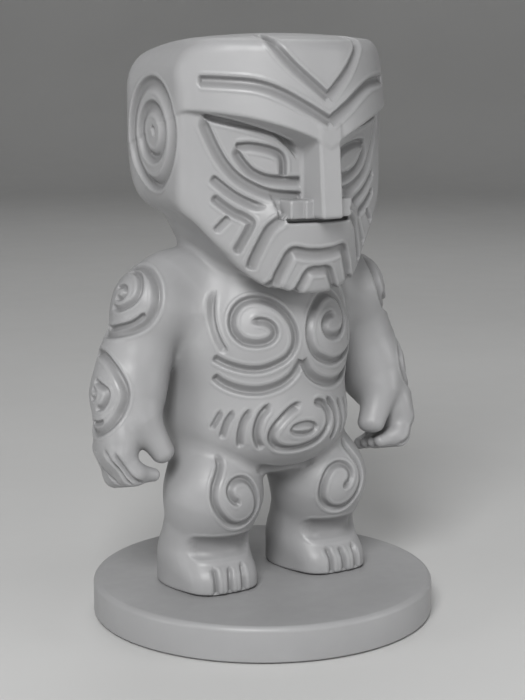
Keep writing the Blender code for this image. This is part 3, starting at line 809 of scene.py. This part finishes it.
def groups(centres):
    """Which CAD node the triangles with these centres belong to."""
    high, apart = centres[:, 2], np.abs(centres[:, 0])
    upper = above_neck(centres) > 0.0
    clear_of_head = (high < SHOULDER_TOP_Z) & (apart > HEAD_CLEAR_X)
    arms = (beyond_shoulders(centres) > 0.0) & (high > FINGERTIP_Z) & (~upper | clear_of_head)
    legs = (above_hips(centres) < 0.0) & ~arms
    left = centres[:, 0] > 0.0
    return {"head": upper & ~arms, "torso": ~upper & ~arms & ~legs, "left_arm": arms & left,
            "right_arm": arms & ~left, "left_leg": legs & left, "right_leg": legs & ~left}


def carved_skin(material):
    """The skin, cut at the CAD's joint planes. Pieces share the normals along a cut, so no seam shows."""
    points, triangles, normals, heights = carved_mesh()
    fields = np.concatenate((points, normals, heights[:, None]), axis=1)
    for plane in (beyond_shoulders, above_neck, above_hips):
        fields, triangles = cut(fields, triangles, plane)
    points, normals, heights = fields[:, :3], fields[:, 3:6], fields[:, 6]
    normals = normals / np.maximum(np.linalg.norm(normals, axis=1, keepdims=True), 1e-9)
    for node, chosen in groups(points[triangles].mean(axis=1)).items():
        skin_piece(node + "_skin", node, points, triangles[chosen], normals, heights, material)


def turned(name, rings, material, turns=144):
    """A solid turned about the z axis from (radius, z) rings, listed from the bottom up."""
    around = 2.0 * np.pi * np.arange(turns) / turns
    points = [(radius * math.cos(t), radius * math.sin(t), z) for radius, z in rings for t in around]
    faces = []
    for ring in range(len(rings) - 1):
        for turn in range(turns):
            after = (turn + 1) % turns
            faces.append((ring * turns + turn, ring * turns + after,
                          (ring + 1) * turns + after, (ring + 1) * turns + turn))
    faces.append(tuple(range(turns))[::-1])
    faces.append(tuple(range((len(rings) - 1) * turns, len(rings) * turns)))
    return add_mesh(name, points, faces, material)


def rounded(radius, z, size, start, end, steps=8):
    """Rings round an edge: an arc of this size, between two angles in degrees, inside the corner."""
    angles = [math.radians(start + (end - start) * i / steps) for i in range(steps + 1)]
    return [(radius + size * math.cos(a), z + size * math.sin(a)) for a in angles]


def plinth(material):
    """The round base, with a recess for the felt and a rounded rim."""
    radius, recess = PLINTH_HIGH[0], FELT_HIGH[0] + 0.3
    bottom, top = PLINTH_LOW[2], PLINTH_HIGH[2]
    lip, foot_edge, rim_edge = 0.3, 0.6, 1.6
    rings = [(recess, FELT_HIGH[2] + 0.1), (recess, bottom + lip)]
    rings += rounded(FELT_HIGH[0] + 0.9, bottom + lip, lip, 180, 270, 3)
    rings += rounded(radius - foot_edge, bottom + foot_edge, foot_edge, -90, 0, 5)
    rings += rounded(radius - rim_edge, top - rim_edge, rim_edge, 0, 90, 10)
    rings += [(share * radius, top) for share in (0.9, 0.8, 0.6, 0.4, 0.2, 0.02)]
    piece = turned("plinth_disc", rings, material)
    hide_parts("base_plinth")
    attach(piece, "root")


def felt_pad(material):
    """A flat disc with a rounded lower edge."""
    radius, edge = FELT_HIGH[0], 0.3
    bottom, top = FELT_LOW[2], FELT_HIGH[2]
    rings = [(0.5, bottom), (radius * 0.5, bottom)]
    rings += rounded(radius - edge, bottom + edge, edge, -90, 0, 4)
    rings += [(radius, top), (radius * 0.5, top), (0.5, top)]
    piece = turned("felt_pad", rings, material)
    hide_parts("base_felt")
    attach(piece, "root")


# ---------------------------------------------------------------- materials

class Finish:
    """A node material round one Principled shader, with its texture in the object's own coordinates."""

    def __init__(self, name):
        self.material = bpy.data.materials.new(name)
        self.material.use_nodes = True
        self.tree = self.material.node_tree
        self.shader = self.tree.nodes["Principled BSDF"]
        self.place = self.tree.nodes.new("ShaderNodeTexCoord").outputs["Object"]

    def join(self, source, target):
        self.tree.links.new(source, target)

    def noise(self, scale, detail=3.0, rough=0.55, place=None):
        node = self.tree.nodes.new("ShaderNodeTexNoise")
        node.inputs["Scale"].default_value = scale
        node.inputs["Detail"].default_value = detail
        node.inputs["Roughness"].default_value = rough
        self.join(place or self.place, node.inputs["Vector"])
        return node.outputs["Fac"]

    def stretched(self, scale):
        node = self.tree.nodes.new("ShaderNodeMapping")
        node.inputs["Scale"].default_value = scale
        self.join(self.place, node.inputs["Vector"])
        return node.outputs["Vector"]

    def levels(self, source, low, high, start, end):
        """Map source between low and high onto start to end."""
        node = self.tree.nodes.new("ShaderNodeMapRange")
        node.inputs["From Min"].default_value = low
        node.inputs["From Max"].default_value = high
        node.inputs["To Min"].default_value = start
        node.inputs["To Max"].default_value = end
        self.join(source, node.inputs["Value"])
        return node.outputs["Result"]

    def colours(self, source, stops):
        node = self.tree.nodes.new("ShaderNodeValToRGB")
        elements = node.color_ramp.elements
        while len(elements) < len(stops):
            elements.new(0.5)
        for element, (position, colour) in zip(elements, stops):
            element.position = position
            element.color = (*colour, 1.0)
        self.join(source, node.inputs["Fac"])
        return node.outputs["Color"]

    def tint(self, colour, share, other):
        """Mix other into colour by share."""
        factor, first, second, result = 0, 6, 7, 2      # the sockets that a colour mix uses
        node = self.tree.nodes.new("ShaderNodeMix")
        node.data_type = "RGBA"
        self.join(share, node.inputs[factor])
        self.join(colour, node.inputs[first])
        node.inputs[second].default_value = (*other, 1.0)
        return node.outputs[result]

    def bump(self, source, strength, distance, under=None):
        node = self.tree.nodes.new("ShaderNodeBump")
        node.inputs["Strength"].default_value = strength
        node.inputs["Distance"].default_value = distance
        self.join(source, node.inputs["Height"])
        if under is not None:
            self.join(under, node.inputs["Normal"])
        return node.outputs["Normal"]


def shade(tone, factor):
    """A tone made darker or lighter."""
    return tuple(part * factor for part in tone)


def primed_resin(name, tone):
    """Cast resin under sprayed grey primer, mottled by handling, with painted shade darkening the colour
    down in the channels.
    """
    finish = Finish(name)
    broad = finish.noise(28.0, 4.0)
    colour = finish.colours(broad, [(0.3, shade(tone, 0.93)), (0.7, shade(tone, 1.05))])
    # painted shade: the deeper the carving, the darker the colour, standing in for the shade that falls
    # down in the channels
    carving = finish.tree.nodes.new("ShaderNodeAttribute")
    carving.attribute_name = "carving"
    painted_channel_shade = finish.levels(carving.outputs["Fac"], 0.0, -1.0, 0.0, 0.85)
    colour = finish.tint(colour, painted_channel_shade, shade(tone, 0.6))
    finish.join(colour, finish.shader.inputs["Base Color"])
    rough = finish.levels(finish.noise(180.0, 3.0), 0.3, 0.7, 0.38, 0.5)
    finish.join(rough, finish.shader.inputs["Roughness"])
    finish.shader.inputs["Specular IOR Level"].default_value = 0.5
    grain = finish.bump(finish.noise(5200.0, 2.0), 0.25, 0.00004)
    tooling = finish.bump(finish.noise(420.0, 3.0), 0.2, 0.00012, grain)
    finish.join(tooling, finish.shader.inputs["Normal"])
    return finish.material


def metal(name, tone, rough, lay):
    """Plated or drawn metal with fine lines stretched along the shank."""
    finish = Finish(name)
    lines = finish.noise(900.0, 4.0, 0.6, finish.stretched(lay))
    colour = finish.colours(lines, [(0.25, shade(tone, 0.86)), (0.75, tone)])
    finish.join(colour, finish.shader.inputs["Base Color"])
    finish.shader.inputs["Metallic"].default_value = 1.0
    polish = finish.levels(lines, 0.2, 0.8, rough - 0.08, rough + 0.1)
    finish.join(polish, finish.shader.inputs["Roughness"])
    finish.join(finish.bump(lines, 0.2, 0.00002), finish.shader.inputs["Normal"])
    return finish.material


def felt_cloth(name, tone):
    """Pressed felt: short fibres that lie one way, in clumps."""
    finish = Finish(name)
    fibres = finish.noise(1400.0, 6.0, 0.7, finish.stretched((1.0, 0.35, 1.0)))
    clumps = finish.noise(220.0, 3.0)
    colour = finish.colours(fibres, [(0.25, shade(tone, 0.6)), (0.75, shade(tone, 1.2))])
    finish.join(colour, finish.shader.inputs["Base Color"])
    finish.join(finish.levels(clumps, 0.3, 0.7, 0.88, 0.98), finish.shader.inputs["Roughness"])
    finish.shader.inputs["Sheen Weight"].default_value = 0.35
    finish.join(finish.bump(fibres, 0.8, 0.0003), finish.shader.inputs["Normal"])
    return finish.material


def pale_floor(name):
    """Matt pale paint, very slightly uneven."""
    finish = Finish(name)
    darker, lighter = (0.50, 0.50, 0.495), (0.54, 0.54, 0.535)
    colour = finish.colours(finish.noise(3.0, 3.0), [(0.3, darker), (0.7, lighter)])
    finish.join(colour, finish.shader.inputs["Base Color"])
    finish.join(finish.levels(finish.noise(40.0), 0.3, 0.7, 0.6, 0.72), finish.shader.inputs["Roughness"])
    return finish.material


# ---------------------------------------------------------------- studio

def floor(material):
    """A round floor that curves up into a wall all round."""
    flat, curve, wall, turns = 1500.0, 700.0, 1500.0, 96
    rings = [(1.0, 0.0), (300.0, 0.0), (flat, 0.0)]
    rings += [(flat + curve * math.sin(math.radians(a)), curve * (1.0 - math.cos(math.radians(a))))
              for a in range(6, 91, 6)]
    rings.append((flat + curve, wall))
    around = 2.0 * np.pi * np.arange(turns) / turns
    points = [(radius * math.cos(t), radius * math.sin(t), z) for radius, z in rings for t in around]
    faces = []
    for low in range(0, (len(rings) - 1) * turns, turns):
        high = low + turns
        faces += [(low + i, low + (i + 1) % turns, high + (i + 1) % turns, high + i)
                  for i in range(turns)]
    faces.append(tuple(range(turns)))
    add_mesh("studio_floor", points, faces, material)


def direction(azimuth, elevation):
    """The way from the figure outwards. Azimuth 0 is in front of the figure and 90 on its left."""
    turn, rise = math.radians(azimuth), math.radians(elevation)
    return Vector((math.sin(turn) * math.cos(rise), -math.cos(turn) * math.cos(rise), math.sin(rise)))


def softbox(name, azimuth, elevation, distance, size, power, aim):
    """A square area light, with its distance and size in metres and its power in watts."""
    light = bpy.data.lights.new(name, "AREA")
    light.shape = "SQUARE"
    light.size = size
    light.energy = power
    way = direction(azimuth, elevation)
    lamp = bpy.data.objects.new(name, light)
    lamp.location = aim + way * distance
    lamp.rotation_euler = way.to_track_quat("Z", "Y").to_euler()
    bpy.context.scene.collection.objects.link(lamp)


def studio():
    """A key light and weaker ones all round and overhead. Left and right are the camera's."""
    aim = Vector((0.0, 0.0, 0.08))
    softbox("key_light", -42.0, 37.0, 1.1, 0.4, 12.0, aim)
    softbox("left_light", -95.0, 8.0, 1.2, 0.5, 3.2, aim)
    softbox("right_light", 46.0, 12.0, 1.3, 0.5, 3.6, aim)
    softbox("front_light", 0.0, 3.0, 1.3, 0.5, 3.2, aim)
    softbox("back_light", 150.0, 50.0, 1.3, 0.7, 3.0, aim)
    softbox("room_light", 0.0, 89.0, 2.4, 2.0, 7.0, aim)
    world = bpy.data.worlds.new("studio")
    world.use_nodes = True
    background = world.node_tree.nodes["Background"]
    background.inputs["Color"].default_value = (0.80, 0.81, 0.83, 1.0)
    background.inputs["Strength"].default_value = 0.03
    bpy.context.scene.world = world
    bpy.context.scene.view_settings.view_transform = "Standard"


def camera():
    """A short telephoto on the figure's right, near the height of the crown and looking down a little."""
    aim, distance = Vector((0.0, 0.0, 0.07715)), 0.480
    way = direction(-31.89, 10.07)
    lens = bpy.data.cameras.new("camera")
    lens.lens = 85.0
    lens.sensor_width = 36.0
    lens.clip_start = 0.01
    lens.clip_end = 50.0
    shot = bpy.data.objects.new("camera", lens)
    shot.location = aim + way * distance
    shot.rotation_euler = way.to_track_quat("Z", "Y").to_euler()
    bpy.context.scene.collection.objects.link(shot)
    bpy.context.scene.camera = shot


def finish_hardware():
    """Materials for the CAD's own pins, screws, washers, inserts and dowels."""
    steel = metal("zinc_plated_steel", (0.62, 0.63, 0.65), 0.3, (1.0, 1.0, 0.15))
    brass = metal("turned_brass", (0.72, 0.52, 0.22), 0.28, (1.0, 1.0, 0.2))
    for name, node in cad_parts.items():
        if any(word in name for word in ("screw", "washer", "pin", "dowel", "insert")):
            node.data.materials.clear()
            node.data.materials.append(brass if "insert" in name else steel)


carved_skin(primed_resin("grey_primed_resin", (0.275, 0.275, 0.279)))
plinth(primed_resin("grey_primed_plinth", (0.29, 0.29, 0.294)))
felt_pad(felt_cloth("dark_felt", (0.035, 0.04, 0.045)))
finish_hardware()
floor(pale_floor("pale_studio_floor"))
studio()
camera()
